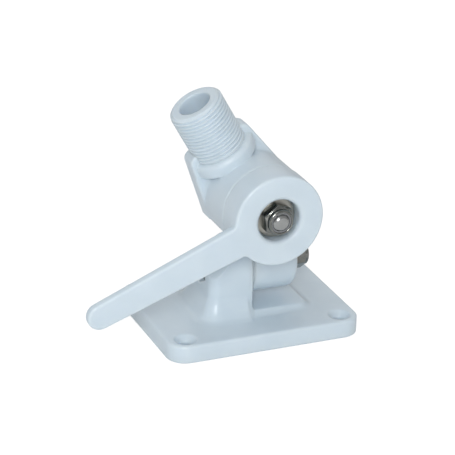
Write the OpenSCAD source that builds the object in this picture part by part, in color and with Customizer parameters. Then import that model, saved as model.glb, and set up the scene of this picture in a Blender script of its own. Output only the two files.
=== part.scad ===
// Ratcheting swivel mount: a screwed-down base, a tilting knuckle and a swinging
// head with a hollow threaded stub, clamped by a hand lever and by a lock nut.
// X runs along the tilt bolt, Y along the swing bolt, Z is up, z = 0 is the mounting face.

/* [Base plate] */
// Width of the plate along the tilt bolt
plate_w = 93.5; // [88:0.5:120]
// Depth of the plate along the swing bolt
plate_d = 72; // [70:1:100]
// Thickness of the plate
plate_t = 8.5; // [6:0.5:12]
// Corner radius of the plate
plate_r = 9; // [4:0.5:12]
// Screw hole distance along the width
hole_w = 76; // [70:1:96]
// Screw hole distance along the depth
hole_d = 57; // [52:1:84]
// Diameter of the screw holes
screw_d = 5.5; // [4:0.1:6.5]
// Diameter of the countersinks
csk_d = 10.6; // [9:0.1:12]
// Depth of the countersinks
csk_h = 2.6; // [1:0.1:4]

/* [Post] */
// Left face of the post
post_x = 20.2; // [18:0.1:26]
// Height of the tilt axis
tilt_z = 29; // [27:0.1:34]
// Radius of the post top and of the knuckle barrel
barrel_r = 14.4; // [14:0.1:16]
// Height of the shelf under the knuckle
shelf_z = 10.6; // [9.5:0.1:11.5]
// Right end of the shelf
shelf_x = 26.2; // [24:0.1:32]
// Radius of the flare between the post and the plate
flare_r = 8; // [4:0.5:8.5]

/* [Knuckle] */
// Right end of the knuckle barrel
barrel_x = 23.6; // [22:0.1:30]
// Height of the swing axis
swing_z = 65.7; // [65:0.1:76]
// Radius of the knuckle's upper disc
disc_r = 16.2; // [15:0.1:16.5]
// Thickness of the knuckle's upper disc
disc_t = 7; // [6:0.1:9]

/* [Head] */
// Radius of the head barrel and of its flanked plate
head_r = 20.6; // [19:0.1:21.3]
// Front of the head barrel, measured forwards from the tilt axis
head_front = 27; // [25:0.1:36]
// Rear face of the head, measured backwards from the tilt axis
head_back = 4; // [0.5:0.1:6]
// Thickness of the flanked plate at the rear of the head
plate_back_t = 9.5; // [6:0.1:12]
// Half width of the plate's shoulders
shoulder_w = 15.3; // [13:0.1:17]
// Height of the plate's shoulders above the swing axis
shoulder_h = 30; // [26:0.1:32]
// Lean of the stub from upright at rest
stub_lean = 30; // [0:10:60]
// Distance of the stub axis in front of the tilt axis
stub_y = 1.7; // [0:0.1:8]
// Outside diameter of the stub thread, one inch
stub_d = 25.4; // [20:0.1:30]
// Top of the stub above the swing axis
stub_h = 50.8; // [46:0.1:62]
// Radius of the collar under the thread
collar_r = 15.3; // [13:0.1:17]
// Underside of the collar above the swing axis
collar_low = 18.6; // [17.5:0.1:21]
// Top of the collar above the swing axis
collar_h = 25.8; // [24:0.1:30]
// Diameter of the cable bore
cable_d = 14.8; // [10:0.1:17]
// Depth of the cable bore
cable_l = 28; // [20:0.5:29]

/* [Lever] */
// Radius of the lever hub
hub_r = 21; // [20.8:0.1:24]
// Thickness of the lever hub
hub_t = 14.4; // [13:0.1:18]
// Distance from the swing axis to the tip of the lever
arm_l = 95; // [80:1:120]
// Width of the arm next to the hub
arm_w1 = 15; // [12:0.1:20]
// Width of the arm at its tip
arm_w2 = 11.8; // [9:0.1:15]
// Thickness of the arm
arm_t = 4.3; // [3:0.1:5]
// Droop of the arm below the horizontal at rest
arm_droop = 22; // [0:0.5:40]
// Rim radius of the hub recess
rim_r = 11.9; // [11.5:0.1:13]

/* [Ratchet faces] */
// Number of radial serrations, so the joints index in steps of 360 / serrations
serrations = 36; // [24:12:48]
// Height of the serrations
tooth_h = 0.55; // [0.4:0.01:0.6]
// Gap between the serration tips while the clamp is released
tooth_gap = 0.15; // [0.1:0.01:0.3]

/* [Fasteners] */
// Nominal diameter of both bolts
bolt_d = 8; // [6:0.5:8]
// Thread pitch of the bolts, which sets the clamp travel per turn
bolt_pitch = 1.25; // [1:0.05:1.5]
// Width across flats of the bolt heads and nuts
hex_af = 13; // [10:0.5:13]
// Thickness of the bolt heads
bolt_head_h = 5.3; // [4:0.1:6]
// Full height of a lock nut
nut_h = 7.2; // [6:0.1:8]
// Height of the round collar on a lock nut
nut_collar_h = 2.2; // [1.5:0.1:3]
// Depth of the washer's face in the lever hub
stop_depth = 5.4; // [4:0.1:6.5]
// Outside diameter of the washer in the lever hub
stop_washer_d = 18.7; // [16:0.1:19]
// Outside diameter of the washer under the tilt nut
tilt_washer_d = 17; // [15:0.1:19]
// Thickness of the washers
washer_t = 1.6; // [1:0.1:2]

/* [Hidden] */
$fn = 96;
e = 0.01;                          // overlap that makes cuts pass right through
run = 0.08;                        // radial clearance of a bolt in a moving bore
snug = 0.03;                       // radial clearance of a nut thread on its bolt
face = 0.3;                        // gap between the flat faces of moving shells
slip = 0.05;                       // gap on either side of a thrust washer
seam = tooth_h + tooth_gap;        // gap between the flat faces of a ratchet at rest
close = bolt_pitch / 2;            // clamp travel over half a turn of lever or nut
bolt_r = bolt_d / 2;
bore_r = bolt_r + run;
thread_r = bolt_r + snug;
hex_r = hex_af / 2 / cos(30);      // corner radius of a hexagon of that width
hex_fit = 0.1;                     // clearance of a hexagon in its pocket
post_face = 0.6;                   // toothed face of the post
post_edge = 5;                     // rounding of the post's outer edge
knuckle_face = post_face + seam;   // flat of the knuckle's toothed end
barrel_edge = 3.5;                 // rounding of the knuckle's free end
tooth_in = 9.6;                    // inner radius of the serrations
tooth_out = min(barrel_r, disc_r) - 1.6; // outer radius of the serrations
tooth_w = 1.2;                     // width of a serration at its root
tooth_tip = 0.5;                   // width of a serration at its tip
tooth_slack = 0.12;                // clearance of a serration in its groove
lip_in = barrel_r - 1.2;           // plain lip of the knuckle around its serrations
lip_out = barrel_r - 0.4;
lip_gap = 0.1;                     // gap between the lip and the post's face or rebate
neck_step = 0.5;                   // the relief under the thread is this much smaller in radius
neck_over = 0.3;                   // the relief ends this far above the shoulders
neck_h = shoulder_h + neck_over;   // start of the thread above the swing axis
disc_y = head_back + seam;         // toothed front face of the knuckle's disc
disc_back = disc_y + disc_t;
disc_edge = 3;
collar_angle = 90 - atan(collar_r / collar_low) - 3; // half angle that the collar leaves for the web
boss_r = 11.5;                     // boss that holds the swing bolt's head
boss_t = 4;
pocket_h = 4.6;                    // depth of the swing bolt's hexagonal pocket
post_pocket = 7.6;                 // depth of the tilt bolt's hexagonal pocket
spring_r = 6.6;                    // outside radius of the release springs
spring_wire = 1.1;
spring_pocket_r = spring_r + 0.5;
spring_pocket = 9;                 // depth of the spring pockets
spring_l = spring_pocket - 0.4;    // the spring stops short of the far pocket's floor
hub_back = head_front + face;      // rear face of the lever hub
hub_front = hub_back + hub_t;
washer_bore_r = bolt_r + 0.2;
thrust_r = 8.6;                    // thrust washer between hub and head
thrust_in = (washer_t - face) / 2; // how deep the thrust washer sits in each part
thrust_pocket_r = thrust_r + 0.3;
insert_y = hub_back + thrust_in;    // rear face of the lever's insert
hub_edge = 1.2;                    // rounding of the hub's front edge
arm_step = 0.02;                   // the arm's front lies this far behind the hub's
stop_y = hub_front - stop_depth;   // front face of the washer under the lock nut
hub_floor = stop_y - washer_t - 0.2; // floor of the hub recess, just clear of the washer
recess_r = stop_washer_d / 2 + 0.4;
rim_fillet = rim_r - recess_r;
tip_out = 0.8;                     // bolt end standing out of its lock nut
washer_gap = 0.05;
tilt_washer_x = barrel_x + washer_gap;
tilt_nut_x = tilt_washer_x + washer_t + washer_gap;
head_edge = 1;                     // small rounding on the head barrel's rim
plate_edge = 1.2;                  // chamfer on the plate's upper edge
stub_cham = 1.4;
collar_edge = 3.2;                 // rounding of the collar's upper and lower edges
shoulder_r = 3;

// A cylinder along X from x0 to x1 on the tilt axis
module along_x(x0, x1, r) { translate([x0, 0, tilt_z]) rotate([0, 90, 0]) cylinder(r = r, h = x1 - x0); }

// A cylinder along Y from y0 to y1 on the swing axis
module along_y(y0, y1, r) { translate([0, y1, swing_z]) rotate([90, 0, 0]) cylinder(r = r, h = y1 - y0); }

// Places a child drawn around +Z so that +Z becomes the outward direction of each axis
module on_x(x) { translate([x, 0, tilt_z]) rotate([0, 90, 0]) children(); }
module on_y(y) { translate([0, y, swing_z]) rotate([90, 0, 0]) children(); }

// A disc of radius r and height h whose top edge is rounded by f
module rounded_disc(r, h, f) {
    rotate_extrude() {
        square([r - f, h]);
        square([r, h - f]);
        translate([r - f, h - f]) intersection() { circle(f, $fn = 48); square(f + e); }
    }
}

// A disc of radius r from z0 to z1 with both edges rounded by f
module bead(r, z0, z1, f) {
    translate([0, 0, z0]) rotate_extrude() {
        square([r - f, z1 - z0]);
        translate([0, f]) square([r, z1 - z0 - 2 * f]);
        for (z = [f, z1 - z0 - f]) translate([r - f, z]) intersection() {
            circle(f, $fn = 48);
            translate([0, -f]) square([f + e, 2 * f]);
        }
    }
}

// Serrations standing on z = 0, tips up
module ridges(w, tip, h) {
    for (i = [0:serrations - 1]) rotate(i * 360 / serrations)
        translate([tooth_in, 0, 0]) rotate([90, 0, 90]) linear_extrude(tooth_out - tooth_in)
            polygon([[-w / 2, -0.2], [w / 2, -0.2], [w / 2, 0], [tip / 2, h], [-tip / 2, h], [-w / 2, 0]]);
}

// Grooves for the serrations, cut downwards from z = 0
module grooves() {
    w = tooth_w + 2 * tooth_slack;
    tip = tooth_tip + 2 * tooth_slack;
    mirror([0, 0, 1]) for (i = [0:serrations - 1]) rotate(i * 360 / serrations)
        translate([tooth_in - tooth_slack, 0, 0]) rotate([90, 0, 90])
            linear_extrude(tooth_out - tooth_in + 2 * tooth_slack)
                polygon([[-w / 2, -0.2], [w / 2, -0.2], [w / 2, 0], [tip / 2, tooth_h + tooth_slack],
                         [-tip / 2, tooth_h + tooth_slack], [-w / 2, 0]]);
}

// A coil spring drawn as a stack of rings
module spring(l) {
    turns = 4;
    step = (l - spring_wire) / turns;
    for (i = [0:turns]) translate([0, 0, spring_wire / 2 + i * step])
        rotate_extrude() translate([spring_r - spring_wire / 2, 0]) circle(d = spring_wire, $fn = 24);
    for (i = [0:turns - 1]) rotate(i * 90)
        translate([spring_r - spring_wire / 2, 0, spring_wire / 2 + i * step])
            cylinder(d = spring_wire * 0.8, h = step, $fn = 24);
}

// A prism with rounded corners
module rounded_block(w, d, r, h) {
    translate([-w / 2 + r, -d / 2]) cube([w - 2 * r, d, h]);
    translate([-w / 2, -d / 2 + r]) cube([w, d - 2 * r, h]);
    for (sx = [-1, 1]) for (sy = [-1, 1])
        translate([sx * (w / 2 - r), sy * (d / 2 - r)]) cylinder(r = r, h = h);
}

// Concave quarter round of radius f, standing in the corner of the +X and +Z axes
module cove(f) {
    difference() {
        translate([-1, -1]) square([f + 1, f + 1]);
        translate([f, f]) circle(f);
    }
}

// Flare around a block of w by d, from z = 0 up to f, with the block's own corner radius
module flare(w, d, r, f) {
    for (a = [0, 180]) rotate(a) {
        translate([w / 2, d / 2 - r]) rotate([90, 0, 0]) linear_extrude(d - 2 * r) cove(f);
        translate([-w / 2 + r, d / 2]) rotate([90, 0, 90]) linear_extrude(w - 2 * r) cove(f);
    }
    for (sx = [-1, 1]) for (sy = [-1, 1]) translate([sx * (w / 2 - r), sy * (d / 2 - r)])
        rotate_extrude() translate([r, 0]) cove(f);
}

module screw_hole() {
    translate([0, 0, -e]) cylinder(d = screw_d, h = plate_t + 2 * e);
    translate([0, 0, plate_t - csk_h]) cylinder(d1 = screw_d, d2 = csk_d, h = csk_h + e);
}

module base_bracket() {
    foot_w = post_x + shelf_x;
    foot_x = (shelf_x - post_x) / 2;
    low_flare = shelf_z - plate_t;
    color("aliceblue") difference() {
        union() {
            rounded_block(plate_w, plate_d, plate_r, plate_t - plate_edge);
            for (i = [0:3]) translate([0, 0, plate_t - plate_edge + i * plate_edge / 4])
                rounded_block(plate_w - i * i * 0.16, plate_d - i * i * 0.16, plate_r - i * i * 0.08,
                              plate_edge / 4);
            // the shelf under the knuckle, and its low flare
            translate([foot_x, 0, 0]) rounded_block(foot_w, 2 * barrel_r, 3, shelf_z);
            translate([foot_x, 0, plate_t - e]) flare(foot_w, 2 * barrel_r, 3, low_flare);
            // the post, and its tall flare
            translate([(post_face - post_x) / 2, 0, 0]) intersection() {
                rounded_block(post_x + post_face, 2 * barrel_r, post_edge, tilt_z);
                union() {
                    translate([-plate_w, -plate_d, 0]) cube([plate_w + 2, 2 * plate_d, tilt_z]);
                    translate([0, -barrel_r, 0]) cube([(post_x + post_face) / 2, 2 * barrel_r, tilt_z]);
                }
            }
            translate([post_face - 4, -barrel_r, 0]) cube([4, 2 * barrel_r, tilt_z]);
            intersection() {
                translate([(post_face - post_x) / 2, 0, plate_t - e])
                    flare(post_x + post_face, 2 * barrel_r, post_edge, flare_r);
                translate([-plate_w / 2, -plate_d / 2, 0]) cube([plate_w / 2 + post_face, plate_d, tilt_z]);
            }
            on_x(post_face) rotate([180, 0, 0]) rounded_disc(barrel_r, post_x + post_face, post_edge);
        }
        for (sx = [-1, 1]) for (sy = [-1, 1]) translate([sx * hole_w / 2, sy * hole_d / 2]) screw_hole();
        along_x(-post_x - e, post_face + e, bore_r);
        on_x(-post_x + post_pocket) rotate([180, 0, 0]) rotate(30)
            cylinder(r = hex_r + hex_fit, h = post_pocket + e, $fn = 6);
        on_x(post_face) grooves();
        difference() {
            along_x(post_face - close - lip_gap, post_face + 1, lip_out + lip_gap);
            along_x(post_face - 2, post_face + 2, lip_in - lip_gap);
        }
        along_x(post_face - 1, post_face + e, spring_pocket_r);
    }
}

module tilt_bolt() {
    head_x = -post_x + post_pocket;
    tip_x = tilt_nut_x + nut_h + tip_out;
    color("silver") {
        on_x(head_x) rotate([180, 0, 0]) rotate(30) cylinder(r = hex_r, h = bolt_head_h, $fn = 6);
        along_x(head_x, tip_x - 1, bolt_r);
        on_x(tip_x - 1) cylinder(r1 = bolt_r, r2 = bolt_r - 0.9, h = 1);
    }
}

module tilt_spring() {
    color("gainsboro") on_x(post_face - 1 + 0.2) spring(spring_l + 1 + seam - 0.2 - close);
}

module tilt_washer() {
    color("silver") difference() {
        along_x(tilt_washer_x, tilt_washer_x + washer_t, tilt_washer_d / 2);
        along_x(tilt_washer_x - e, tilt_washer_x + washer_t + e, washer_bore_r);
    }
}

// A lock nut standing on z = 0: a hexagon with a round collar that holds the ring
module nut() {
    hex_h = nut_h - nut_collar_h;
    difference() {
        union() {
            intersection() {
                cylinder(r = hex_r, h = hex_h, $fn = 6);
                union() {
                    cylinder(r = hex_r + 0.1, h = hex_h - 1);
                    translate([0, 0, hex_h - 1]) cylinder(r1 = hex_r + 0.1, r2 = hex_af / 2 - 0.2, h = 1);
                }
            }
            translate([0, 0, hex_h - e]) cylinder(r = hex_af / 2 - 0.7, h = nut_collar_h + e);
        }
        translate([0, 0, -e]) cylinder(r = thread_r, h = nut_h + 2 * e);
        translate([0, 0, hex_h]) cylinder(r = bolt_r + 1.1, h = nut_collar_h - 0.5);
        translate([0, 0, hex_h]) cylinder(r = bolt_r + 0.7, h = nut_collar_h + 1);
    }
}

// The plastic ring inside a lock nut
module nut_ring() {
    translate([0, 0, nut_h - nut_collar_h]) difference() {
        cylinder(r = bolt_r + 1.1, h = nut_collar_h - 0.5);
        translate([0, 0, -e]) cylinder(r = thread_r, h = nut_collar_h);
    }
}

module tilt_nut() { color("silver") on_x(tilt_nut_x) rotate(18) nut(); }
module tilt_nut_ring() { color("white") on_x(tilt_nut_x) nut_ring(); }

// Outline of the knuckle's web, seen along the swing bolt. Its right side runs down in line
// with the swing axis, so that the collar clears it when the stub lies level.
module web_outline() {
    a = collar_angle;
    l = (barrel_x - 1.5) / sin(a);
    polygon([[knuckle_face + 1, tilt_z], [barrel_x - 1.5, tilt_z], [l * sin(a), swing_z - l * cos(a)],
             [(disc_r - 1) * sin(a), swing_z - (disc_r - 1) * cos(a)], [0, swing_z],
             [-(disc_r - 1) * sin(a), swing_z - (disc_r - 1) * cos(a)],
             [knuckle_face + 1, tilt_z + barrel_r + 2]]);
}

// Side view of the neck: upright in front, sloping from the disc to the barrel behind
module neck_outline() {
    polygon([[disc_y + 0.5, tilt_z - 4], [disc_y + 0.5, swing_z], [disc_back - 1, swing_z],
             [disc_back - 1, swing_z - disc_r + 2], [barrel_r * cos(15), tilt_z + barrel_r * sin(15)],
             [barrel_r * cos(15), tilt_z - 4]]);
}

module knuckle() {
    boss_end = disc_back + boss_t;
    color("aliceblue") difference() {
        union() {
            on_x(knuckle_face) rounded_disc(barrel_r, barrel_x - knuckle_face, barrel_edge);
            on_x(knuckle_face) rotate([180, 0, 0]) ridges(tooth_w, tooth_tip, tooth_h);
            difference() {
                along_x(knuckle_face - seam + lip_gap, knuckle_face + 1, lip_out);
                along_x(knuckle_face - 2, knuckle_face + 2, lip_in);
            }
            on_y(disc_y) rotate([180, 0, 0]) rounded_disc(disc_r, disc_t, disc_edge);
            on_y(disc_y) ridges(tooth_w, tooth_tip, tooth_h);
            on_y(disc_back - 1) rotate([180, 0, 0]) rounded_disc(boss_r, boss_t + 1, 1.5);
            intersection() {
                translate([0, 2 * barrel_r, 0]) rotate([90, 0, 0]) linear_extrude(2 * barrel_r) web_outline();
                rotate([90, 0, 90]) linear_extrude(4 * barrel_x, center = true) neck_outline();
            }
        }
        along_x(knuckle_face - 1, barrel_x + 1, bore_r);
        along_x(knuckle_face - 1, knuckle_face + spring_pocket, spring_pocket_r);
        along_y(disc_y - 1, boss_end + 1, bore_r);
        on_y(boss_end - pocket_h) rotate([180, 0, 0]) cylinder(r = hex_r + hex_fit, h = pocket_h + 1, $fn = 6);
    }
}

module swing_bolt() {
    head_y = disc_back + boss_t - pocket_h;
    tip_y = stop_y + nut_h + tip_out;
    color("silver") {
        on_y(head_y) rotate([180, 0, 0]) cylinder(r = hex_r, h = bolt_head_h, $fn = 6);
        along_y(-tip_y + 1, head_y, bolt_r);
        on_y(-tip_y + 1) cylinder(r1 = bolt_r, r2 = bolt_r - 0.9, h = 1);
    }
}

module swing_spring() {
    color("gainsboro") on_y(disc_y - 0.1) spring(spring_l + seam - close);
}

module thrust_washer() {
    y0 = hub_back + thrust_in - slip;
    y1 = head_front - thrust_in + slip;
    color("silver") difference() {
        along_y(-y0, -y1, thrust_r);
        along_y(-y0 - e, -y1 + e, washer_bore_r);
    }
}

// Outline of the head's flanked plate, stub up, seen along the swing bolt
module flank_outline() {
    // tangent from the shoulder to the disc
    q = atan2(shoulder_h, shoulder_w);
    l = sqrt(shoulder_w * shoulder_w + shoulder_h * shoulder_h);
    r = head_r - 0.05;
    t = q - acos(r / l);
    polygon([[r * cos(t), r * sin(t)], [shoulder_w, shoulder_h - shoulder_r],
             [shoulder_w - shoulder_r * 0.3, shoulder_h - shoulder_r * 0.3],
             [shoulder_w - shoulder_r, shoulder_h], [-shoulder_w + shoulder_r, shoulder_h],
             [-shoulder_w + shoulder_r * 0.3, shoulder_h - shoulder_r * 0.3],
             [-shoulder_w, shoulder_h - shoulder_r], [-r * cos(t), r * sin(t)], [0, -1]]);
}

module head() {
    color("aliceblue") difference() {
        union() {
            on_y(head_back) rounded_disc(head_r, head_front + head_back, head_edge);
            translate([0, 0, swing_z]) rotate([0, -stub_lean, 0]) {
                translate([0, head_back, 0]) rotate([90, 0, 0]) linear_extrude(plate_back_t) flank_outline();
                translate([0, -stub_y, 0]) {
                    bead(collar_r, collar_low, collar_h, collar_edge);
                    translate([0, 0, collar_h - 1])
                        cylinder(d = stub_d - 2 * neck_step, h = neck_h - collar_h + 1);
                    translate([0, 0, neck_h]) cylinder(d = stub_d, h = stub_h - neck_h - stub_cham);
                    translate([0, 0, stub_h - stub_cham])
                        cylinder(d1 = stub_d, d2 = stub_d - 2 * stub_cham, h = stub_cham);
                }
            }
        }
        translate([0, 0, swing_z]) rotate([0, -stub_lean, 0]) translate([0, -stub_y, stub_h - cable_l])
            cylinder(d = cable_d, h = cable_l + e);
        along_y(-head_front - e, head_back + e, bore_r);
        on_y(head_back) rotate([180, 0, 0]) grooves();
        along_y(head_back - spring_pocket, head_back + e, spring_pocket_r);
        along_y(-head_front - e, -head_front + thrust_in, thrust_pocket_r);
    }
}

// Outline of the arm, pointing along +X away from the hub's axis
module arm_outline() {
    r = arm_w2 / 2;
    root = rim_r + 1;
    polygon([[root, -arm_w1 / 2], [hub_r, -arm_w1 / 2], [arm_l - r, -r], [arm_l - r, r],
             [hub_r, arm_w1 / 2], [root, arm_w1 / 2]]);
    translate([arm_l - r, 0]) circle(r);
}

// Half section of the hub: rounded outer edge, recess with a rounded mouth
module hub_section() {
    difference() {
        union() {
            square([hub_r - hub_edge, hub_t]);
            square([hub_r, hub_t - hub_edge]);
            translate([hub_r - hub_edge, hub_t - hub_edge]) circle(hub_edge, $fn = 48);
        }
        translate([0, hub_floor - hub_back]) square([recess_r, hub_t]);
        difference() {
            translate([0, hub_t - rim_fillet]) square([rim_r, rim_fillet + 1]);
            translate([rim_r, hub_t - rim_fillet]) circle(rim_fillet, $fn = 48);
        }
    }
}

module lever() {
    color("aliceblue") difference() {
        union() {
            on_y(-hub_back) rotate_extrude() hub_section();
            on_y(-hub_front + arm_t) rotate(180 + arm_droop) linear_extrude(arm_t - arm_step) arm_outline();
        }
        on_y(-hub_back + 1) rotate(30) cylinder(r = hex_r, h = hub_floor - hub_back + 2, $fn = 6);
        along_y(-insert_y, -hub_back + 1, thrust_pocket_r);
    }
}

module lever_insert() {
    color("silver") difference() {
        on_y(-insert_y) rotate(30) cylinder(r = hex_r, h = hub_floor - insert_y, $fn = 6);
        along_y(-hub_floor - e, -hub_back + e, thread_r);
    }
}

module stop_washer() {
    color("tan") difference() {
        along_y(-stop_y, -stop_y + washer_t, stop_washer_d / 2);
        along_y(-stop_y - e, -stop_y + washer_t + e, washer_bore_r);
    }
}

module lock_nut() { color("silver") on_y(-stop_y) rotate(12) nut(); }
module lock_nut_ring() { color("white") on_y(-stop_y) nut_ring(); }

base_bracket();
tilt_bolt();
tilt_spring();
tilt_washer();
tilt_nut();
tilt_nut_ring();
knuckle();
swing_bolt();
swing_spring();
thrust_washer();
head();
lever();
lever_insert();
stop_washer();
lock_nut();
lock_nut_ring();
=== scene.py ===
from math import acos, atan2, cos, hypot, pi, radians, sin

import bpy
import numpy as np
from mathutils import Matrix, Vector


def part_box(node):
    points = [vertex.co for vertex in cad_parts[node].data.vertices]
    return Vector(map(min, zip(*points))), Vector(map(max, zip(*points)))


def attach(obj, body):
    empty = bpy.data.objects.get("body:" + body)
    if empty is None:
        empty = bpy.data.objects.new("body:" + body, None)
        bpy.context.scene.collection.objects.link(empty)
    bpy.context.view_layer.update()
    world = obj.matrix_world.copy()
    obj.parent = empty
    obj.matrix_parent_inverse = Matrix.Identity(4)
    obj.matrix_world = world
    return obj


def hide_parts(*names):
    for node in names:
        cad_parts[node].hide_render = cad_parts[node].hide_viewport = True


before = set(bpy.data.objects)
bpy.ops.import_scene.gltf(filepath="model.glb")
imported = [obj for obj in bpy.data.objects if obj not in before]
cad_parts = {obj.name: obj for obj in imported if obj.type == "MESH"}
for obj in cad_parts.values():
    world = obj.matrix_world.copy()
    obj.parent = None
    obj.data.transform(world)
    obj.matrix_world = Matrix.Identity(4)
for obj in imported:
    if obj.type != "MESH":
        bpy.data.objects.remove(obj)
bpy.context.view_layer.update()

# Sizes below are in millimetres and become metres as a mesh is written
mm = 0.001


def span(node):  # lowest and highest corner of a CAD node
    low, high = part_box(node)
    return np.array(low) / mm, np.array(high) / mm


def middle(node):
    low, high = span(node)
    return (low + high) / 2


tiltZ = middle("tilt_washer")[2]
swingZ = middle("stop_washer")[2]

# Both ratchets: a grooved ring in a trough, faced by a ridged ring, around the pocket of a release spring
ratchet = {"teeth": 36, "toothH": 0.55, "grooveDepth": 0.6, "rootHalf": 0.6, "tipHalf": 0.25, "backing": 0.6,
           "grooves": (9.3, 13.0), "ridges": (9.6, 12.8), "trough": (9.4, 12.95), "troughDepth": 0.75,
           "springR": 7.1, "springDepth": 9, "springSeat": 1}

# A field gives the distance to a surface, less than zero inside. Fields meet in rounded edges and fillets.


def join(a, b, r):  # union: the inner corner gets a fillet of radius r
    return np.maximum(r, np.minimum(a, b)) - np.hypot(np.maximum(r - a, 0), np.maximum(r - b, 0))


def meet(a, b, r):  # common part: the outer edge is rounded by r
    return np.minimum(-r, np.maximum(a, b)) + np.hypot(np.maximum(r + a, 0), np.maximum(r + b, 0))


def cut(a, b, r):  # a without b: the rim is rounded by r
    return meet(a, -b, r)


def roundRect(x, y, w, d, r):  # distance to a rectangle with rounded corners
    qx, qy = np.abs(x) - w / 2 + r, np.abs(y) - d / 2 + r
    return np.hypot(np.maximum(qx, 0), np.maximum(qy, 0)) + np.minimum(np.maximum(qx, qy), 0) - r


def hexagon(x, y, flats, r=0.3):  # the three pairs of flats meet in slightly rounded corners
    turn = [np.abs(x * cos(a) + y * sin(a)) - flats / 2 for a in (0, pi / 3, 2 * pi / 3)]
    return meet(meet(turn[0], turn[1], r), turn[2], r)


def outline(x, y, points):  # distance to a polygon: the nearest edge, signed by how often a ray crosses
    best = np.full(np.shape(x), 1e9)
    sign = np.ones(np.shape(x))
    for (ax, ay), (bx, by) in zip(points, points[1:] + points[:1]):
        ex, ey = bx - ax, by - ay
        px, py = x - ax, y - ay
        t = np.clip((px * ex + py * ey) / (ex * ex + ey * ey), 0, 1)
        best = np.minimum(best, (px - ex * t) ** 2 + (py - ey * t) ** 2)
        above, below, left = y >= ay, y < by, ex * py > ey * px
        sign = np.where((above & below & left) | (~above & ~below & ~left), -sign, sign)
    return sign * np.sqrt(best)


def turned(x, z, degrees, z0):  # coordinates across and along a direction leaning to the left
    a = radians(degrees)
    z = z - z0
    return x * cos(a) + z * sin(a), -x * sin(a) + z * cos(a)


def settle(field, p, step, rounds=5):  # slides points along the field's slope until they lie on the surface
    eps = 0.01
    for _ in range(rounds):
        f = field(p[:, 0], p[:, 1], p[:, 2])
        g = np.stack([(field(*(p + d).T) - field(*(p - d).T)) / (2 * eps) for d in np.eye(3) * eps], 1)
        move = f[:, None] * g / np.maximum((g * g).sum(1), 0.05)[:, None]
        far = np.linalg.norm(move, axis=1, keepdims=True)
        p = p - move * np.minimum(1, 0.5 * step / np.maximum(far, 1e-9))
    return p


def fieldSkin(field, low, high, step):
    # One vertex in each cell of a grid where the field changes sign, at the mean of the crossings on its
    # edges, and one quad across each grid edge that is crossed
    low, high = np.array(low, float), np.array(high, float)
    count = np.ceil((high - low) / step).astype(int) + 1
    axes = [low[i] + step * np.arange(count[i]) for i in range(3)]
    value = field(*np.meshgrid(*axes, indexing="ij"))
    inside = value < 0
    total = sum(inside[i:count[0] - 1 + i, j:count[1] - 1 + j, k:count[2] - 1 + k].astype(np.int8)
                for i in (0, 1) for j in (0, 1) for k in (0, 1))
    cell = np.argwhere((total > 0) & (total < 8))
    number = np.full(total.shape, -1)
    number[tuple(cell.T)] = np.arange(len(cell))
    place, hits = np.zeros((len(cell), 3)), np.zeros(len(cell))
    for axis in range(3):
        others = [i for i in range(3) if i != axis]
        for a in (0, 1):
            for b in (0, 1):
                offset = np.zeros(3, int)
                offset[others[0]], offset[others[1]] = a, b
                start = cell + offset
                end = start.copy()
                end[:, axis] += 1
                v0, v1 = value[tuple(start.T)], value[tuple(end.T)]
                hit = (v0 < 0) != (v1 < 0)
                t = np.where(hit, v0 / np.where(hit, v0 - v1, 1), 0)
                at = offset + np.zeros((len(cell), 3))
                at[:, axis] = t
                place += at * hit[:, None]
                hits += hit
    points = low + (cell + place / hits[:, None]) * step
    faces = []
    for axis in range(3):
        first, second = (axis + 1) % 3, (axis + 2) % 3
        size = list(inside.shape)
        size[axis] -= 1
        here = np.take(inside, range(size[axis]), axis)
        after = np.take(inside, range(1, size[axis] + 1), axis)
        edge = np.argwhere(here != after)
        edge = edge[(edge[:, first] > 0) & (edge[:, second] > 0)]
        outward = here[tuple(edge.T)]
        ring = []
        for a, b in ((1, 1), (0, 1), (0, 0), (1, 0)):
            at = edge.copy()
            at[:, first] -= a
            at[:, second] -= b
            ring.append(number[tuple(at.T)])
        quad = np.stack(ring, 1)
        faces.append(np.where(outward[:, None], quad, quad[:, ::-1]))
    return settle(field, points, step), np.vstack(faces)


def sheet(points, wrapRows, wrapColumns):
    # Quads over a grid of points (rows, columns, 3), closed along rows or columns where asked
    rows, columns = points.shape[:2]
    r = np.arange(rows if wrapRows else rows - 1)[:, None]
    c = np.arange(columns if wrapColumns else columns - 1)[None, :]
    r1, c1 = (r + 1) % rows, (c + 1) % columns
    corners = r * columns + c, r * columns + c1, r1 * columns + c1, r1 * columns + c
    return points.reshape(-1, 3), np.stack(np.broadcast_arrays(*corners), -1).reshape(-1, 4)


def capped(rings, first, last):
    # A tube of rings (rows, columns, 3), closed at each end by a fan of triangles around one point
    rows, columns = rings.shape[:2]
    points, quads = sheet(rings, False, True)
    ring = np.arange(columns)
    after = (ring + 1) % columns
    top = (rows - 1) * columns
    fans = [np.stack([np.full(columns, len(points)), after, ring], 1),
            np.stack([np.full(columns, len(points) + 1), top + ring, top + after], 1)]
    return np.vstack([points, first, last]), [quads] + fans


def lathe(profile, columns, radiusAt):
    # A profile of (radius, height) rows turned about an axis: x = r cos a, y = r sin a, z = h.
    # The first and last rows lie on the axis, where one vertex closes each pole.
    profile = np.array(profile, float)
    a = np.arange(columns) * 2 * pi / columns
    r = np.repeat(profile[1:-1, :1], columns, 1)
    h = np.repeat(profile[1:-1, 1:2], columns, 1)
    r = radiusAt(r, h, a[None, :])
    body = np.stack([r * np.cos(a), r * np.sin(a), h], -1)
    return capped(body, [0, 0, profile[0, 1]], [0, 0, profile[-1, 1]])


def ontoX(p, x):  # a shape made about +z, laid along +x on the tilt axis
    return np.stack([x + p[:, 2], p[:, 1], tiltZ - p[:, 0]], 1)


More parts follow.
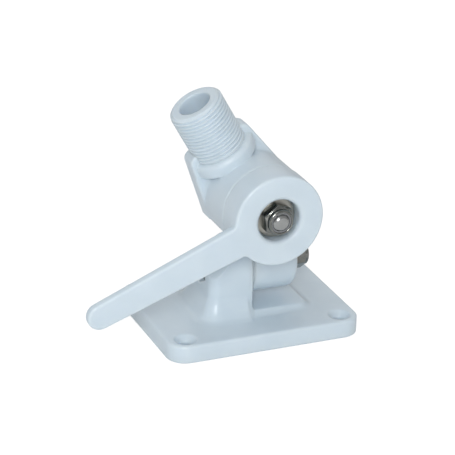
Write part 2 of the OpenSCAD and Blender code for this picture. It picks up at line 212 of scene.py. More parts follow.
def ontoMinusX(p, x):  # a shape made about +z, laid along -x on the tilt axis
    return np.stack([x - p[:, 2], p[:, 1], tiltZ + p[:, 0]], 1)


def ontoY(p, y):  # a shape made about +z, laid along -y on the swing axis
    return np.stack([p[:, 0], y - p[:, 2], swingZ + p[:, 1]], 1)


def ontoPlusY(p, y):  # a shape made about +z, laid along +y on the swing axis
    return np.stack([p[:, 0], y + p[:, 2], swingZ - p[:, 1]], 1)


def spun(p, degrees):  # a shape turned about its own z axis
    a = radians(degrees)
    return np.stack([p[:, 0] * cos(a) - p[:, 1] * sin(a), p[:, 0] * sin(a) + p[:, 1] * cos(a), p[:, 2]], 1)


def write(name, parts, material, body, stands=()):
    # Joins (points, faces) pairs in one object whose place is in its mesh
    verts, faces, base = [], [], 0
    for points, polygons in parts:
        points = np.asarray(points)
        polygons = polygons if isinstance(polygons, list) else [polygons]
        volume = sum(np.einsum("ij,ij->", points[p[:, 0]], np.cross(points[p[:, i]], points[p[:, i + 1]]))
                     for p in polygons for i in range(1, p.shape[1] - 1))
        if volume < 0:  # faces point outwards
            polygons = [p[:, ::-1] for p in polygons]
        verts.append(points * mm)
        faces += [p + base for p in polygons]
        base += len(points)
    mesh = bpy.data.meshes.new(name)
    verts = np.vstack(verts)
    loops = np.concatenate([f.ravel() for f in faces])
    sizes = np.concatenate([np.full(len(f), f.shape[1]) for f in faces])
    mesh.vertices.add(len(verts))
    mesh.vertices.foreach_set("co", verts.astype(np.float32).ravel())
    mesh.loops.add(len(loops))
    mesh.loops.foreach_set("vertex_index", loops.astype(np.int32))
    mesh.polygons.add(len(sizes))
    mesh.polygons.foreach_set("loop_start", (np.cumsum(sizes) - sizes).astype(np.int32))
    mesh.polygons.foreach_set("use_smooth", np.ones(len(sizes), bool))
    mesh.update(calc_edges=True)
    mesh.validate()
    mesh.materials.append(material)
    piece = bpy.data.objects.new(name, mesh)
    bpy.context.scene.collection.objects.link(piece)
    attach(piece, body)
    if stands:
        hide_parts(*stands)
    low, high = (np.round(edge / mm, 2).tolist() for edge in (verts.min(0), verts.max(0)))
    print(name, len(verts), "vertices", low, high)
    return piece


def shaderGroup(name, inputs, outputs):
    tree = bpy.data.node_groups.new(name, "ShaderNodeTree")
    for label, kind, value in inputs:
        socket = tree.interface.new_socket(name=label, in_out="INPUT", socket_type=kind)
        if value is not None:
            socket.default_value = value
    for label, kind in outputs:
        tree.interface.new_socket(name=label, in_out="OUTPUT", socket_type=kind)
    return tree, tree.nodes.new("NodeGroupInput"), tree.nodes.new("NodeGroupOutput")


def noiseNode(tree, scale, detail, rough=0.5):
    node = tree.nodes.new("ShaderNodeTexNoise")
    node.inputs["Scale"].default_value = scale
    node.inputs["Detail"].default_value = detail
    node.inputs["Roughness"].default_value = rough
    return node


def mathNode(tree, operation, a, b=None):
    node = tree.nodes.new("ShaderNodeMath")
    node.operation = operation
    for socket, value in zip(node.inputs, (a, b)):
        if value is None:
            continue
        if isinstance(value, (int, float)):
            socket.default_value = value
        else:
            tree.links.new(value, socket)
    return node.outputs[0]


fleck = {"scale": 260, "size": 0.035, "share": 0.1}


def mouldGroup():
    # Moulded plastic: broad cloudy tone, fine skin texture and a few tiny flecks
    tree, given, out = shaderGroup("mouldedSkin", [("Vector", "NodeSocketVector", None),
                                                   ("Cloud Scale", "NodeSocketFloat", 90),
                                                   ("Skin Scale", "NodeSocketFloat", 2400)],
                                   [("Cloud", "NodeSocketFloat"), ("Skin", "NodeSocketFloat"),
                                    ("Fleck", "NodeSocketFloat")])
    cloud, skin = noiseNode(tree, 90, 4), noiseNode(tree, 2400, 3, 0.6)
    for node, scale in ((cloud, "Cloud Scale"), (skin, "Skin Scale")):
        tree.links.new(given.outputs["Vector"], node.inputs["Vector"])
        tree.links.new(given.outputs[scale], node.inputs["Scale"])
    cells = tree.nodes.new("ShaderNodeTexVoronoi")
    cells.inputs["Scale"].default_value = fleck["scale"]
    tree.links.new(given.outputs["Vector"], cells.inputs["Vector"])
    tree.links.new(cloud.outputs["Fac"], out.inputs["Cloud"])
    tree.links.new(skin.outputs["Fac"], out.inputs["Skin"])
    tree.links.new(mathNode(tree, "LESS_THAN", cells.outputs["Distance"], fleck["size"]), out.inputs["Fleck"])
    return tree


def brushedGroup():
    # Worked metal: fine lines drawn out along one axis, over a broad unevenness
    tree, given, out = shaderGroup("workedMetal", [("Vector", "NodeSocketVector", None),
                                                   ("Stretch", "NodeSocketVector", (1, 1, 1)),
                                                   ("Line Scale", "NodeSocketFloat", 1500)],
                                   [("Lines", "NodeSocketFloat"), ("Cloud", "NodeSocketFloat")])
    scaled = tree.nodes.new("ShaderNodeVectorMath")
    scaled.operation = "MULTIPLY"
    tree.links.new(given.outputs["Vector"], scaled.inputs[0])
    tree.links.new(given.outputs["Stretch"], scaled.inputs[1])
    lines, cloud = noiseNode(tree, 1500, 4, 0.65), noiseNode(tree, 220, 3)
    tree.links.new(scaled.outputs[0], lines.inputs["Vector"])
    tree.links.new(given.outputs["Line Scale"], lines.inputs["Scale"])
    tree.links.new(given.outputs["Vector"], cloud.inputs["Vector"])
    tree.links.new(lines.outputs["Fac"], out.inputs["Lines"])
    tree.links.new(cloud.outputs["Fac"], out.inputs["Cloud"])
    return tree


def newMaterial(name, group, settings):
    material = bpy.data.materials.new(name)
    material.use_nodes = True
    tree = material.node_tree
    shader = tree.nodes["Principled BSDF"]
    for label, value in settings.items():
        shader.inputs[label].default_value = value
    place = tree.nodes.new("ShaderNodeTexCoord")
    effect = tree.nodes.new("ShaderNodeGroup")
    effect.node_tree = group
    tree.links.new(place.outputs["Object"], effect.inputs["Vector"])
    return material, tree, shader, effect


noiseReach = 0.12, 0.88  # wide, because a noise that is clipped shows as patches with hard edges


def ramp(tree, value, low, high):  # linear scaling of a noise to low..high
    node = tree.nodes.new("ShaderNodeMapRange")
    node.inputs["From Min"].default_value, node.inputs["From Max"].default_value = noiseReach
    node.inputs["To Min"].default_value, node.inputs["To Max"].default_value = low, high
    tree.links.new(value, node.inputs["Value"])
    return node.outputs["Result"]


def tint(tree, factor, a, b):
    node = tree.nodes.new("ShaderNodeMix")
    node.data_type = "RGBA"
    node.inputs[6].default_value, node.inputs[7].default_value = (*a, 1), (*b, 1)
    tree.links.new(factor, node.inputs["Factor"])
    return node


def bump(tree, shader, height, strength, distance):
    node = tree.nodes.new("ShaderNodeBump")
    node.inputs["Strength"].default_value = strength
    node.inputs["Distance"].default_value = distance * mm
    tree.links.new(height, node.inputs["Height"])
    tree.links.new(node.outputs["Normal"], shader.inputs["Normal"])


moulded, worked = mouldGroup(), brushedGroup()

nylonLook = {"light": (0.66, 0.755, 0.82), "dark": (0.60, 0.70, 0.775), "fleck": (0.50, 0.57, 0.62),
             "gloss": (0.26, 0.36), "skin": 0.10, "skinDepth": 0.05}


def nylonMaterial(name, look, cloudScale):
    material, tree, shader, effect = newMaterial(name, moulded, {
        "IOR": 1.5, "Subsurface Weight": 0.45, "Subsurface Scale": 0.004,
        "Subsurface Radius": (1.0, 1.0, 1.1), "Specular IOR Level": 0.45})
    effect.inputs["Cloud Scale"].default_value = cloudScale
    base = tint(tree, ramp(tree, effect.outputs["Cloud"], 0, 1), look["light"], look["dark"])
    flecked = tree.nodes.new("ShaderNodeMix")
    flecked.data_type = "RGBA"
    tree.links.new(mathNode(tree, "MULTIPLY", effect.outputs["Fleck"], fleck["share"]), flecked.inputs["Factor"])
    tree.links.new(base.outputs[2], flecked.inputs[6])
    flecked.inputs[7].default_value = (*look["fleck"], 1)
    tree.links.new(flecked.outputs[2], shader.inputs["Base Color"])
    tree.links.new(ramp(tree, effect.outputs["Cloud"], *look["gloss"]), shader.inputs["Roughness"])
    bump(tree, shader, effect.outputs["Skin"], look["skin"], look["skinDepth"])
    return material


nylon = nylonMaterial("mouldedNylon", nylonLook, 90)
ringNylon = nylonMaterial("ringNylon", {**nylonLook, "light": (0.30, 0.31, 0.33), "dark": (0.22, 0.23, 0.25),
                                        "gloss": (0.4, 0.5)}, 300)

metalLooks = {
    # The first look's base colour is kept far darker than bare steel: a painted dark reflection that stands in
    # for the dark surroundings the nuts reflect.
    "darkReflectionSteel": {"light": (0.36, 0.37, 0.35), "dark": (0.12, 0.125, 0.12), "gloss": (0.10, 0.20),
                   "stretch": (1, 1, 1), "lines": 900, "depth": 0.02},
    "turnedSteel": {"light": (0.46, 0.47, 0.47), "dark": (0.34, 0.35, 0.35), "gloss": (0.16, 0.30),
                    "stretch": (1, 0.12, 1), "lines": 1600, "depth": 0.02},
    "washerSteel": {"light": (0.52, 0.51, 0.46), "dark": (0.38, 0.37, 0.34), "gloss": (0.28, 0.45),
                    "stretch": (0.4, 0.4, 1), "lines": 1200, "depth": 0.02},
    "springSteel": {"light": (0.50, 0.50, 0.52), "dark": (0.38, 0.38, 0.40), "gloss": (0.25, 0.4),
                    "stretch": (1, 1, 0.3), "lines": 1400, "depth": 0.01},
}


def metalMaterial(name):
    look = metalLooks[name]
    material, tree, shader, effect = newMaterial(name, worked, {"Metallic": 1.0})
    effect.inputs["Stretch"].default_value = look["stretch"]
    effect.inputs["Line Scale"].default_value = look["lines"]
    colour = tint(tree, ramp(tree, effect.outputs["Cloud"], 0, 1), look["light"], look["dark"])
    tree.links.new(colour.outputs[2], shader.inputs["Base Color"])
    tree.links.new(ramp(tree, effect.outputs["Lines"], *look["gloss"]), shader.inputs["Roughness"])
    bump(tree, shader, effect.outputs["Lines"], 0.3, look["depth"])
    return material


steel = {name: metalMaterial(name) for name in metalLooks}

bracket = {"cornerR": 9, "plateT": 8.5, "edge": 1.3, "holeW": 76, "holeD": 57, "screwD": 5.5, "sinkD": 10.6,
           "sinkH": 2.6, "postEdge": 5, "toothedFace": 0.6, "barrelR": 14.4, "flare": 8.5, "shelfZ": 10.6,
           "shelfX": 26.2, "shelfR": 3, "shelfTop": 24, "shelfFlare": 5.5, "postX": -20.2, "seamFlare": 0.8,
           "flareRun": 4, "fine": 0.5, "sinkRim": 0.35, "pocketH": 7.6, "pocketRim": 0.4, "hexAf": 13,
           "hexFit": 0.3, "boreR": 4.2, "step": 0.55, "rebate": (13.1, 14.1), "rebateDepth": 0.73}


def trough(rho, above):  # the ring-shaped trough that holds a grooved ring, seen from its face
    inner, outer = ratchet["trough"]
    return np.maximum(np.maximum(inner - rho, rho - outer), above - ratchet["troughDepth"])


def bracketField(x, y, z):
    s = bracket
    low, high = span("base_bracket")
    plate = roundRect(x, y, high[0] - low[0], high[1] - low[1], s["cornerR"])
    plate = meet(plate, z - s["plateT"], s["edge"])
    postX, face = s["postX"], s["toothedFace"]
    sides = np.where(z > tiltZ, np.hypot(y, z - tiltZ), np.abs(y)) - s["barrelR"]
    post = meet(meet(sides, postX - x, s["postEdge"]), x - face, s["fine"])
    footX, footW = (s["shelfX"] + postX) / 2, s["shelfX"] - postX
    shelf = roundRect(x - footX, y, footW, 2 * s["barrelR"], s["shelfR"])
    shelf = meet(shelf, z - s["shelfTop"], 1)
    shelf = meet(join(shelf, plate, s["shelfFlare"]), z - s["shelfZ"], s["fine"])
    flare = s["seamFlare"] + (s["flare"] - s["seamFlare"]) * np.clip((face + 1 - x) / s["flareRun"], 0, 1)
    body = join(post, shelf, flare)
    body = meet(np.minimum(body, shelf), -z, s["fine"])
    for sx in (-1, 1):
        for sy in (-1, 1):
            rho = np.hypot(x - sx * s["holeW"] / 2, y - sy * s["holeD"] / 2)
            slope = (s["sinkD"] - s["screwD"]) / 2 / s["sinkH"]
            cone = (rho - s["screwD"] / 2 - (z - s["plateT"] + s["sinkH"]) * slope) / hypot(1, slope)
            body = cut(body, np.minimum(rho - s["screwD"] / 2, cone), s["sinkRim"])
    rho = np.hypot(y, z - tiltZ)
    body = cut(body, rho - s["boreR"], 0.2)
    pocket = np.maximum(hexagon(y, z - tiltZ, s["hexAf"] + s["hexFit"]), x - postX - s["pocketH"])
    body = cut(body, pocket, s["pocketRim"])
    body = np.maximum(body, -trough(rho, face - x))
    return np.maximum(body, -np.maximum(rho - ratchet["springR"], face - ratchet["springSeat"] - x))


def toothRing(radii, floor, crest, groove, columns=16):
    # A flat ring whose front rises and falls with the angle: a wave of teeth, flat at crest and root.
    # The rows run down the outside, across the hidden back and up the inside, and close on themselves.
    (inner, outer), count = radii, ratchet["teeth"]
    a = np.arange(count * columns) * 2 * pi / (count * columns)
    width = 0.5 * (inner + outer)
    phase = (np.abs((a * count / (2 * pi) + 0.5) % 1 - 0.5)) * 2 * pi * width / count  # arc from a tooth's middle
    radii = np.linspace(inner + 0.05, outer - 0.05, 5)
    half, tip = ratchet["rootHalf"], ratchet["tipHalf"]
    rise = np.clip((half - phase) / (half - tip), 0, 1)
    height = floor + (crest - floor) * (1 - rise if groove else rise)
    rows = [np.stack([r * np.cos(a), r * np.sin(a), height], -1) for r in radii]
    rows.append(np.stack([outer * np.cos(a), outer * np.sin(a), height - 0.05], -1))
    back = floor - ratchet["backing"]
    for r in (outer, inner):
        rows.append(np.stack([r * np.cos(a), r * np.sin(a), np.full(len(a), back)], -1))
    rows.append(np.stack([inner * np.cos(a), inner * np.sin(a), height - 0.05], -1))
    return sheet(np.array(rows), True, True)


def flatRing(bore, r, t, edge, columns=144):
    # A rounded rectangle of radius and height, turned about its axis
    a = np.linspace(0, pi / 2, 4)
    corners = [(r - edge, t - edge, 0), (bore + edge, t - edge, pi / 2), (bore + edge, edge, pi),
               (r - edge, edge, 3 * pi / 2)]
    rows = np.array([(cx + edge * cos(b + s), cy + edge * sin(b + s)) for cx, cy, s in corners for b in a])
    turn = np.arange(columns) * 2 * pi / columns
    return sheet(np.stack([rows[:, :1] * np.cos(turn), rows[:, :1] * np.sin(turn),
                           np.repeat(rows[:, 1:], columns, 1)], -1), True, True)


low, high = span("base_bracket")
skinOf = fieldSkin(bracketField, low - 1, high + 1, bracket["step"])
teeth, quads = toothRing(ratchet["grooves"], -ratchet["grooveDepth"], 0, True)
bracketPiece = write("bracketBody", [skinOf, (ontoX(teeth, bracket["toothedFace"]), quads)], nylon, "base",
                     ["base_bracket"])


def carve(piece, parts):  # takes a closed shape out of a piece for good
    tool = write("carvingTool", parts, nylon, "base")
    cutter = piece.modifiers.new("carve", "BOOLEAN")
    cutter.operation, cutter.solver, cutter.object = "DIFFERENCE", "EXACT", tool
    bpy.context.view_layer.objects.active = piece
    bpy.ops.object.modifier_apply(modifier="carve")
    bpy.data.objects.remove(tool)


points, quads = flatRing(*bracket["rebate"], 1.6, 0.05)
carve(bracketPiece, [(ontoX(points, bracket["toothedFace"] - bracket["rebateDepth"]), quads)])

knuckle = {"barrelR": 14.4, "face": 1.3, "endX": 23.6, "endEdge": 3.5, "discR": 16.2, "discY": 4.7, "discT": 7,
           "discEdge": 3, "bossR": 11.5, "bossT": 4, "bossEdge": 1.5, "faceEdge": 0.4, "webInset": 1.5,
           "webEdge": 1.6, "fillet": 1.2, "rim": 0.3, "hexAf": 13.2, "pocketH": 4.6, "pocketRim": 0.4,
           "boreR": 4.2, "lip": (13.2, 14.0), "lipH": 0.6, "step": 0.5}


def knuckleField(x, y, z):
    s = knuckle
    rho = np.hypot(y, z - tiltZ)
    barrel = meet(meet(rho - s["barrelR"], x - s["endX"], s["endEdge"]), s["face"] - x, s["faceEdge"])
    back = s["discY"] + s["discT"]
    reach = np.hypot(x, z - swingZ)
    disc = meet(meet(reach - s["discR"], y - back, s["discEdge"]), s["discY"] - y, s["faceEdge"])
    boss = meet(meet(reach - s["bossR"], y - back - s["bossT"], s["bossEdge"]), back - 2 - y, 0.1)
    # The web's slanted sides run through the swing axis at angle a from straight down
    a = radians(87) - atan2(15.3, 18.6)
    endX = s["endX"] - s["webInset"]
    long, short = endX / sin(a), s["discR"] - 1
    web = [(s["face"] + 1, tiltZ), (endX, tiltZ), (long * sin(a), swingZ - long * cos(a)),
           (short * sin(a), swingZ - short * cos(a)), (0, swingZ), (-short * sin(a), swingZ - short * cos(a)),
           (s["face"] + 1, tiltZ + s["barrelR"] + 2)]
    tangent = s["barrelR"] * cos(radians(15)), tiltZ + s["barrelR"] * sin(radians(15))
    side = [(s["discY"] + 0.5, tiltZ - 4), (s["discY"] + 0.5, swingZ), (back - 1, swingZ),
            (back - 1, swingZ - s["discR"] + 2), tangent, (tangent[0], tiltZ - 4)]
    neck = meet(outline(x, z, web), outline(y, z, side), s["webEdge"])
    body = join(barrel, neck, s["fillet"])
    # The disc's fillet grows from its toothed front, where there is no room for it, to its back
    body = join(body, disc, 0.4 + 1.6 * np.clip((y - 6) / 3, 0, 1))
    body = join(body, boss, s["fillet"])
    body = cut(body, rho - s["boreR"], s["rim"])
    body = np.maximum(body, -np.maximum(rho - ratchet["springR"], x - s["face"] - ratchet["springDepth"]))
    body = cut(body, np.maximum(reach - s["boreR"], -y), s["rim"])
    pocket = np.maximum(hexagon(x, z - swingZ, s["hexAf"]), back + s["bossT"] - s["pocketH"] - y)
    return cut(body, pocket, s["pocketRim"])


low, high = span("knuckle")
teeth, quads = toothRing(ratchet["ridges"], 0, ratchet["toothH"], False)
lip = flatRing(*knuckle["lip"], 1.4, 0.15)
write("knuckleBody", [fieldSkin(knuckleField, low - 1, high + 1, knuckle["step"]),
                      (ontoMinusX(teeth, knuckle["face"]), quads), (ontoY(teeth, knuckle["discY"]), quads),
                      (ontoX(lip[0], knuckle["face"] - knuckle["lipH"]), lip[1])],
      nylon, "knuckle", ["knuckle"])

head = {"r": 20.6, "frontY": -27, "backY": 4, "plateFrontY": -5.5, "shoulderW": 15.3, "shoulderH": 30,
        "shoulderR": 3, "lean": 30, "stubY": -1.7, "collarR": 15.3, "collarLow": 18.9, "collarHigh": 25.8,
        "collarEdge": 2.6, "collarUnder": 1.2, "frontEdge": 1.8, "backEdge": 0.7, "plateEdge": 1.0,
        "flankFillet": 1.6, "socketR": 9, "socketLow": 22, "insertR": 8.9, "insertDepth": 0.65,
        "boreR": 4.2, "boreRim": 0.3, "skinTop": 105, "step": 0.5}


def headField(x, y, z):
    s = head
    u, w = turned(x, z, s["lean"], swingZ)
    barrelSide = np.hypot(u, w) - s["r"]
    # The flanks touch the barrel and pass through the shoulders, so their normal leans by t from the side
    t = atan2(s["shoulderH"], s["shoulderW"]) - acos(s["r"] / hypot(s["shoulderW"], s["shoulderH"]))
    flank = np.abs(u) * cos(t) + w * sin(t) - s["r"]
    flank = np.maximum(meet(flank, w - s["shoulderH"], s["shoulderR"]), -1 - w)
    plateSide = np.minimum(flank, barrelSide)
    plate = meet(plateSide, s["plateFrontY"] - y, s["plateEdge"])
    barrel = meet(barrelSide, s["frontY"] - y, s["frontEdge"])
    body = join(barrel, plate, np.clip(0.8 * (barrelSide - plateSide), 0, s["flankFillet"]))
    body = meet(body, y - s["backY"], s["backEdge"])
    around = np.hypot(u, y - s["stubY"])
    collar = meet(meet(around - s["collarR"], w - s["collarHigh"], s["collarEdge"]),
                  s["collarLow"] - w, s["collarUnder"])
    body = join(body, collar, 0.5)
    body = np.maximum(body, -np.maximum(around - s["socketR"], s["socketLow"] - w))
    rho = np.hypot(x, z - swingZ)
    body = cut(body, rho - s["boreR"], s["boreRim"])
    body = np.maximum(body, -np.maximum(rho - ratchet["springR"], s["backY"] - ratchet["springDepth"] - y))
    body = np.maximum(body, -np.maximum(rho - s["insertR"], y - s["frontY"] - s["insertDepth"]))
    return np.maximum(body, -trough(rho, s["backY"] - y))


stub = {"crest": 12.7, "root": 11.62, "pitch": 25.4 / 14, "from": 26.0, "top": 50.8, "chamfer": 1.5,
        "boreR": 7.4, "boreDepth": 28, "footLow": 21.5, "plainTop": 24, "wave": 0.72, "fade": 1.6, "lip": 0.7,
        "rimR": 0.25, "floorR": 0.8, "columns": 168}


def threadRadius(r, h, a):
    # Rows at the crest radius carry the thread: a wave along the height that gains one pitch per turn,
    # clipped to flat crests and rounded roots, its groove run out at the collar and cut back by the top chamfer
    s = stub
    wave = 0.5 + s["wave"] * np.cos(2 * pi * (h / s["pitch"] - a / (2 * pi)))
    groove = (1 - np.clip(wave, 0, 1)) * np.clip((h - s["from"]) / s["fade"], 0, 1)
    grown = s["crest"] - (s["crest"] - s["root"]) * groove
    grown = np.minimum(grown, s["crest"] - (h - s["top"] + s["chamfer"]))
    return np.where(r > s["root"], np.where(h > s["plainTop"], grown, s["root"]), r)


def stubProfile():
    s = stub
    low, rim, lip, heel = s["footLow"], s["rimR"], s["lip"], s["floorR"]
    heights = np.arange(low + 0.5, s["top"] - 0.24, s["pitch"] / 16)
    rows = [(0, low), (6, low), (10.5, low)] + [(s["crest"], h) for h in heights]
    turn = np.linspace(0, pi / 2, 5)
    edge = s["crest"] - s["chamfer"]
    rows += [(edge - rim + rim * cos(a), s["top"] - rim + rim * sin(a)) for a in turn]
    rows += [(s["boreR"] + lip - lip * sin(a), s["top"] - lip + lip * cos(a)) for a in turn]
    floor = s["top"] - s["boreDepth"]
    rows += [(s["boreR"], h) for h in np.linspace(s["top"] - 2, floor + heel, 12)]
    rows += [(s["boreR"] - heel + heel * cos(a), floor + heel - heel * sin(a)) for a in turn[1:]]
    return rows + [(4, floor), (0, floor)]


def leaned(p):  # a shape made about +z, standing on the swing axis and leaning with the stub
    a = radians(head["lean"])
    return np.stack([p[:, 0] * cos(a) - p[:, 2] * sin(a), p[:, 1] + head["stubY"],
                     swingZ + p[:, 0] * sin(a) + p[:, 2] * cos(a)], 1)


low, high = span("head")
teeth, quads = toothRing(ratchet["grooves"], -ratchet["grooveDepth"], 0, True)
write("headBody", [fieldSkin(headField, low - 1, high * [1, 1, 0] + [1, 1, head["skinTop"]], head["step"]),
                   (ontoPlusY(teeth, head["backY"]), quads)], nylon, "head", ["head"])
points, quads = lathe(stubProfile(), stub["columns"], threadRadius)
write("headStub", [(leaned(points), quads)], nylon, "head", ["head"])

lever = {"hubR": 21, "backY": -27.3, "frontY": -41.7, "armT": 4.3, "armL": 95, "rootW": 15, "tipW": 11.8,
         "droop": 22, "edge": 1.1, "backEdge": 0.5, "armEdge": 1.0, "armFrom": 14, "recessR": 9.75,
         "recessY": -34.5, "mouth": 2.15, "corner": 1.4, "insertR": 8.9, "insertDepth": 0.65,
         "hexAf": 13.06, "step": 0.5}


def leverField(x, y, z):
    s = lever
    a = radians(s["droop"])
    h = z - swingZ
    along, across = -x * cos(a) - h * sin(a), x * sin(a) - h * cos(a)
    rho = np.hypot(x, h)
    hub = meet(rho - s["hubR"], y - s["backY"], s["backEdge"])
    tip = s["armL"] - s["tipW"] / 2
    half = s["rootW"] / 2 + (s["tipW"] - s["rootW"]) / 2 * (along - s["hubR"]) / (tip - s["hubR"])
    arm = np.where(along > tip, np.hypot(along - tip, across) - s["tipW"] / 2, np.abs(across) - half)
    arm = meet(np.maximum(arm, s["armFrom"] - along), y - s["frontY"] - s["armT"], s["armEdge"])
    body = join(hub, arm, s["corner"])
    body = meet(body, s["frontY"] - y, s["edge"])
    body = cut(body, np.maximum(rho - s["recessR"], y - s["recessY"]), s["mouth"])
    body = np.maximum(body, -np.maximum(rho - s["insertR"], s["backY"] - s["insertDepth"] - y))
    return np.maximum(body, -np.maximum(hexagon(x, h, s["hexAf"]), s["recessY"] - y))


low, high = span("lever")
write("leverBody", [fieldSkin(leverField, low - 1, high + 1, lever["step"])], nylon, "lever",
      ["lever"])

nut = {"flats": 13, "hexH": 5, "h": 7.2, "collarR": 5.9, "collarEdge": 0.9, "boreR": 4.05, "ringR": 5.1,
       "mouthR": 4.7, "chamferR": 6.35, "cone": 1.73, "cornerR": 0.25, "lockSpin": 8, "tiltSpin": 18,
       "step": 0.17}


def hexBlock(x, y, z, flats, height):  # a hexagon whose upper corners are turned off by a 30 degree cone
    block = meet(meet(hexagon(x, y, flats, nut["cornerR"]), z - height, 0.15), -z, 0.15)
    return meet(block, (np.hypot(x, y) - nut["chamferR"] - (height - z) * nut["cone"]) / 2, 0.1)


def nutField(x, y, z):
    s = nut
    rho = np.hypot(x, y)
    hexed = hexBlock(x, y, z, s["flats"], s["hexH"])
    hexed = meet(hexed, (rho - s["chamferR"] - z * s["cone"]) / 2, 0.1)
    collar = meet(meet(rho - s["collarR"], z - s["h"], s["collarEdge"]), 1 - z, 0.1)
    body = join(hexed, collar, 0.35)
    body = cut(body, rho - s["boreR"], 0.25)
    body = np.maximum(body, -np.maximum(rho - s["ringR"], np.abs(z - s["hexH"] - 0.85) - 0.85))
    return cut(body, np.maximum(rho - s["mouthR"], s["hexH"] - z), 0.2)


bolt = {"r": 3.97, "flats": 13, "headH": 5.3, "headSpin": 30, "pitch": 1.25, "threadL": 15, "threadDepth": 0.62,
        "wave": 0.62, "fade": 1.5, "tipR": 2.8, "tipEdgeR": 3.9, "underHead": 0.5, "bore": 0.23, "columns": 72}


def boltHeadField(x, y, z):
    return hexBlock(x, y, z, bolt["flats"], bolt["headH"])


def boltShank(length):
    # Rows run from the tip (height 0) down to the head; the thread is a wave along the height that gains
    # one pitch per turn and fades out where the plain shank begins
    b = bolt

    def radius(r, h, a):
        wave = np.clip(0.5 + b["wave"] * np.cos(2 * pi * (h / b["pitch"] - a / (2 * pi))), 0, 1)
        depth = b["threadDepth"] * np.clip((h + b["threadL"]) / b["fade"], 0, 1)
        return np.where((r > b["tipEdgeR"]) & (h > -b["threadL"]), r - depth * wave, r)

    heights = np.arange(-1.15, -b["threadL"] - 1, -b["pitch"] / 10)
    rows = [(0, 0), (b["tipR"] * 0.5, 0), (b["tipR"] - 0.12, 0), (b["tipR"], -0.05), (3.4, -0.6), (3.85, -1.05)]
    rows += [(b["r"], h) for h in heights] + [(b["r"], h) for h in np.linspace(heights[-1] - 1, -length, 6)]
    return lathe(rows + [(0, -length)], b["columns"], radius)


nutSkin = fieldSkin(nutField, (-8, -8, -0.6), (8, 8, 7.8), nut["step"])
headSkin = fieldSkin(boltHeadField, (-8, -8, -0.6), (8, 8, 5.9), nut["step"])
stopY, nutX = span("stop_washer")[0][1], span("tilt_nut")[0][0]
write("lockNut", [(ontoY(spun(nutSkin[0], nut["lockSpin"]), stopY), nutSkin[1])], steel["darkReflectionSteel"], "knuckle",
      ["lock_nut"])
write("tiltNut", [(ontoX(spun(nutSkin[0], nut["tiltSpin"]), nutX), nutSkin[1])], steel["darkReflectionSteel"], "tilt_nut",
      ["tilt_nut"])

low, high = span("swing_bolt")
points, quads = boltShank(high[1] - low[1] - bolt["headH"] + bolt["underHead"])
write("swingBolt", [(ontoY(points, low[1]), quads),
                    (ontoPlusY(headSkin[0], high[1] - bolt["headH"]), headSkin[1])],
      steel["turnedSteel"], "knuckle", ["swing_bolt"])
low, high = span("tilt_bolt")
points, quads = boltShank(high[0] - low[0] - bolt["headH"] + bolt["underHead"])
write("tiltBolt", [(ontoX(points, high[0]), quads),
                   (ontoMinusX(spun(headSkin[0], bolt["headSpin"]), low[0] + bolt["headH"]), headSkin[1])],
      steel["turnedSteel"], "base", ["tilt_bolt"])


def washer(node, axis):
    low, high = span(node)
    size = high - low
    points, quads = flatRing(bolt["r"] + bolt["bore"], max(size) / 2, size[axis], 0.25)
    placed = ontoX(points, low[0]) if axis == 0 else ontoY(points, high[1])
    return placed, quads


for name, node, axis, ridesOn in (("stopWasher", "stop_washer", 1, "knuckle"),
                                  ("thrustWasher", "thrust_washer", 1, "swing_stack"),
                                  ("tiltWasher", "tilt_washer", 0, "tilt_stack")):
    write(name, [washer(node, axis)], steel["washerSteel"], ridesOn, [node])

spring = {"outer": 6.6, "wire": 1.1, "slim": 0.96, "turns": 4.5, "flatTurns": 0.75, "steps": 150, "sides": 12}


def coil(length):
    # A round wire carried along a helix whose first and last turns lie flat over flatTurns
    s = spring
    r, wire = s["outer"] - s["wire"] / 2, s["wire"] / 2
    t = np.linspace(0, 1, s["steps"])
    a = t * s["turns"] * 2 * pi
    rise = np.clip((t * s["turns"] - s["flatTurns"]) / (s["turns"] - 2 * s["flatTurns"]), 0, 1)
    h = wire + rise * (length - 2 * wire)
    centre = np.stack([r * np.cos(a), r * np.sin(a), h], -1)
    outward = np.stack([np.cos(a), np.sin(a), 0 * a], -1)
    up = np.array([0, 0, 1.0])
    b = np.arange(s["sides"]) * 2 * pi / s["sides"]
    around = outward[:, None] * np.cos(b)[None, :, None] + up * np.sin(b)[None, :, None]
    tube = centre[:, None] + wire * s["slim"] * around
    return capped(tube, centre[0], centre[-1])


low, high = span("swing_spring")
points, quads = coil(high[1] - low[1])
write("swingSpring", [(ontoY(points, high[1]), quads)], steel["springSteel"], "knuckle",
      ["swing_spring"])
low, high = span("tilt_spring")
points, quads = coil(high[0] - low[0])
write("tiltSpring", [(ontoX(points, low[0]), quads)], steel["springSteel"], "base",
      ["tilt_spring"])

for node, material in (("tilt_nut_ring", ringNylon), ("lock_nut_ring", ringNylon),
                       ("lever_insert", steel["darkReflectionSteel"])):
    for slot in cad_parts[node].material_slots:
        slot.material = material

studio = {"floor": 4.0, "floorDrop": 0.0002, "world": 0.44, "floorGlow": 0.5}


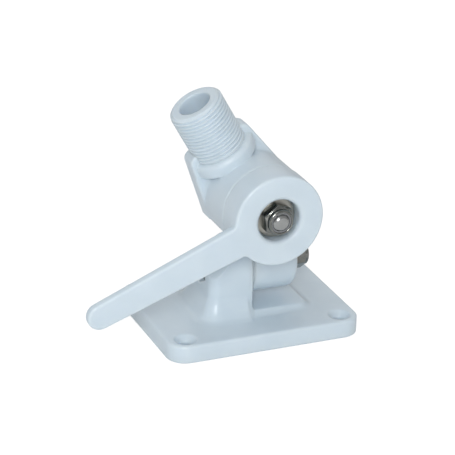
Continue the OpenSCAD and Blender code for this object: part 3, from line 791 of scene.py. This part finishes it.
def floorSheet():
    mesh = bpy.data.meshes.new("studioFloor")
    s, z = studio["floor"], -studio["floorDrop"]
    mesh.from_pydata([(-s, -s, z), (s, -s, z), (s, s, z), (-s, s, z)], [], [(0, 1, 2, 3)])
    floor = bpy.data.objects.new("studioFloor", mesh)
    bpy.context.scene.collection.objects.link(floor)
    material = bpy.data.materials.new("paleFloor")
    material.use_nodes = True
    tree = material.node_tree
    shader = tree.nodes["Principled BSDF"]
    shader.inputs["Roughness"].default_value = 0.9
    shader.inputs["Specular IOR Level"].default_value = 0.1
    seen = tree.nodes.new("ShaderNodeLightPath")  # the glow whitens the backdrop and doesn't light the object
    tree.links.new(mathNode(tree, "MULTIPLY", seen.outputs["Is Camera Ray"], studio["floorGlow"]),
                   shader.inputs["Emission Strength"])
    shader.inputs["Emission Color"].default_value = (1, 1, 1, 1)
    place, cloud = tree.nodes.new("ShaderNodeTexCoord"), noiseNode(tree, 6, 2)
    tree.links.new(place.outputs["Object"], cloud.inputs["Vector"])
    colour = tint(tree, cloud.outputs["Fac"], (0.95, 0.95, 0.95), (0.93, 0.93, 0.93))
    tree.links.new(colour.outputs[2], shader.inputs["Base Color"])
    mesh.materials.append(material)


floorSheet()

world = bpy.data.worlds.new("studioWorld")
world.use_nodes = True
world.node_tree.nodes["Background"].inputs["Color"].default_value = (1, 1, 1, 1)
world.node_tree.nodes["Background"].inputs["Strength"].default_value = studio["world"]
bpy.context.scene.world = world

view = {"target": (-6.84, 0, 46.66), "azimuth": -23.51, "elevation": 23.6, "roll": 1.73, "distance": 963.93,
        "lens": 167.4697, "sensor": 36}
target = Vector(view["target"]) * mm

# Degrees around and above the object, distance and size in metres, and watts
lamps = {"keyBox": {"azimuth": -25, "elevation": 27, "distance": 1.2, "size": (0.3, 0.3), "power": 6.5},
         "backBox": {"azimuth": 165, "elevation": 28, "distance": 1.5, "size": (1.6, 0.7), "power": 2.0},
         "topBox": {"azimuth": -60, "elevation": 70, "distance": 1.2, "size": (0.5, 0.5), "power": 1.0}}


def direction(azimuth, elevation):  # from the object outwards; azimuth 0 is towards -y
    a, e = radians(azimuth), radians(elevation)
    return Vector((sin(a) * cos(e), -cos(a) * cos(e), sin(e)))


def softbox(name, settings):
    light = bpy.data.lights.new(name, "AREA")
    light.shape, light.energy = "RECTANGLE", settings["power"]
    light.size, light.size_y = settings["size"]
    lamp = bpy.data.objects.new(name, light)
    lamp.location = target + direction(settings["azimuth"], settings["elevation"]) * settings["distance"]
    lamp.rotation_euler = (target - lamp.location).to_track_quat("-Z", "Y").to_euler()
    bpy.context.scene.collection.objects.link(lamp)


for name, settings in lamps.items():
    softbox(name, settings)


def placeCamera():
    a, r = radians(view["azimuth"]), radians(view["roll"])
    back = direction(view["azimuth"], view["elevation"])
    right = Vector((cos(a), sin(a), 0))
    up = back.cross(right)
    across, upward = cos(r) * right + sin(r) * up, cos(r) * up - sin(r) * right
    data = bpy.data.cameras.new("studioCamera")
    data.sensor_width, data.lens = view["sensor"], view["lens"]
    data.clip_start, data.clip_end = 0.05, 20
    camera = bpy.data.objects.new("studioCamera", data)
    place = target + back * view["distance"] * mm
    camera.matrix_world = Matrix((
        (across.x, upward.x, back.x, place.x), (across.y, upward.y, back.y, place.y),
        (across.z, upward.z, back.z, place.z), (0, 0, 0, 1)))
    bpy.context.scene.collection.objects.link(camera)
    bpy.context.scene.camera = camera


placeCamera()
bpy.context.scene.view_settings.view_transform = "Standard"
